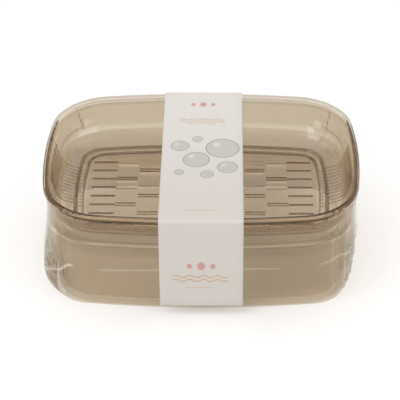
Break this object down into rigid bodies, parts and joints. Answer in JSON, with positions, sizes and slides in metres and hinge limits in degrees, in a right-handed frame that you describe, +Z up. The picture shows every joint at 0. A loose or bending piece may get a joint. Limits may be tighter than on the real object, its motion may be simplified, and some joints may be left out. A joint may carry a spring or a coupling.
{
  "type": "soap dish",
  "caption": "Two-layer soap dish: a slotted, lipped drain tray resting in the mouth of a rounded catch box, with a paper band folded over the middle and a clear film round the box.",
  "frame": {"origin": "centre of the catch box's underside, on the surface that the dish stands on", "axes": "+Z up out of the bowl, +X along the long side, -Y towards the front of the picture"},
  "size_m": [0.14, 0.105, 0.0507],
  "materials": {
    "smoky_box_plastic": "smoky beige-brown translucent plastic, polished",
    "smoky_tray_plastic": "smoky beige-brown translucent plastic, polished",
    "coated_card": "warm off-white printed card, satin",
    "clear_film": "clear shrink film, glossy and slightly crinkled"
  },
  "bodies": {
    "box": {"catch_box": "smoky_box_plastic", "shrink_film": "clear_film"},
    "tray": {"drain_tray": "smoky_tray_plastic"},
    "band": {"paper_band": "coated_card"}
  },
  "joints": [
    {"name": "tray_lift", "type": "slide", "parent": "box", "child": "tray", "axis": [0, 0, 1], "range_m": [0, 0.06]},
    {"name": "band_slide", "type": "slide", "parent": "tray", "child": "band", "axis": [1, 0, 0], "range_m": [-0.11, 0.11]}
  ]
}
